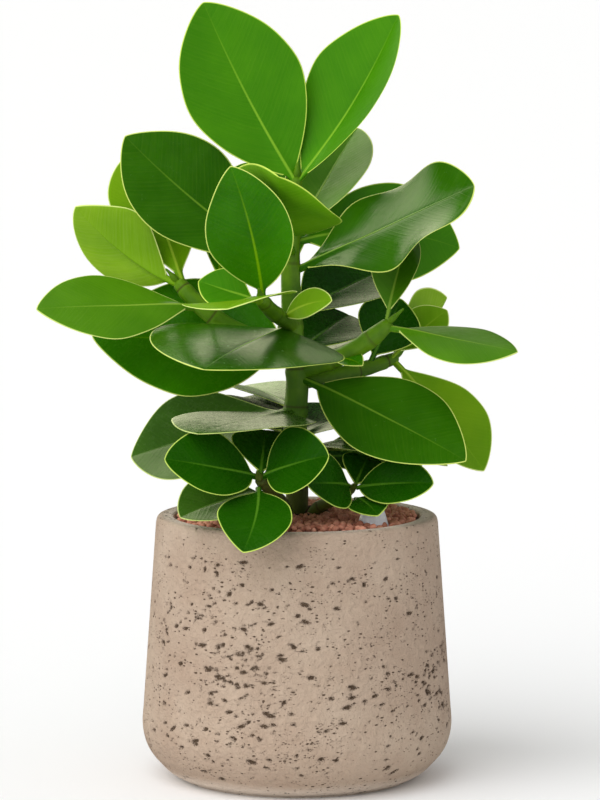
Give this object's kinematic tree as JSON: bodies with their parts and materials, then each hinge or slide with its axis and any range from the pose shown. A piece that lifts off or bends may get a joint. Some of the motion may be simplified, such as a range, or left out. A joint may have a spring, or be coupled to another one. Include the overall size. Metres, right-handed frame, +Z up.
{
  "type": "potted clusia",
  "caption": "Clusia house plant with broad glossy leaves on branching green stems, growing in clay granules in a round pitted concrete planter.",
  "frame": {"origin": "centre of the planter's flat underside, at the height of the surface it stands on", "axes": "+Z up along the planter's axis; -Y faces the plant's front, where the low rosette hangs over the rim; +X to the right seen from the front"},
  "size_m": [0.3031, 0.2322, 0.4983],
  "materials": {
    "concrete": "matt washed concrete, beige-taupe, with open dark brown pits",
    "black_plastic": "matt moulded plastic",
    "root_fibre": "matted roots and peat fibre",
    "fired_clay": "matt fired clay pebbles",
    "clear_plastic": "clear glossy plastic",
    "red_plastic": "gloss plastic",
    "green_stem": "smooth fleshy green stem, lightly waxed",
    "leaf": "thick leathery leaf, glossy above, with a pale yellow-green margin",
    "young_leaf": "thinner bright green young leaf, satin, with a pale margin"
  },
  "bodies": {
    "root": {"pot": "concrete", "culture_pot": "black_plastic", "root_ball": "root_fibre", "clay_granules": "fired_clay", "water_gauge": "clear_plastic", "gauge_float": "red_plastic", "stem": "green_stem", "low_front_stem": "green_stem", "low_right_stem": "green_stem", "leaf_top_left": "young_leaf", "leaf_top_right": "young_leaf", "leaf_upper_front": "young_leaf", "leaf_upper_back": "leaf", "leaf_upper_left": "leaf", "leaf_upper_right": "leaf", "leaf_upper_shade": "leaf", "leaf_middle_front": "leaf", "leaf_middle_back": "leaf", "leaf_middle_shade": "leaf", "leaf_waist_right": "leaf", "leaf_waist_left": "leaf", "leaf_lower_front": "leaf", "leaf_lower_back": "leaf", "leaf_lower_left": "leaf", "leaf_lower_right": "leaf", "leaf_left_outer": "young_leaf", "leaf_left_back": "young_leaf", "leaf_left_front": "leaf", "leaf_left_inner": "leaf", "leaf_crest": "leaf", "leaf_crest_left": "young_leaf", "leaf_crest_front": "young_leaf", "leaf_crest_right": "young_leaf", "leaf_right_point": "leaf", "leaf_right_upright": "leaf", "leaf_right_back": "leaf", "leaf_right_bract": "leaf", "leaf_right_low": "young_leaf", "leaf_right_lime": "young_leaf", "leaf_right_olive": "young_leaf", "leaf_right_hanging": "young_leaf", "leaf_rosette_left": "leaf", "leaf_rosette_right": "leaf", "leaf_rosette_front": "leaf", "leaf_rosette_back": "leaf", "leaf_rim_left": "leaf", "leaf_tuft_left": "leaf", "leaf_tuft_right": "leaf", "leaf_tuft_front": "leaf", "leaf_tuft_back": "leaf", "leaf_low_back": "leaf", "leaf_back_pale": "leaf", "leaf_back_tall": "leaf", "leaf_back_low": "leaf", "leaf_back_left": "leaf", "leaf_waist_back": "leaf"}
  },
  "joints": []
}
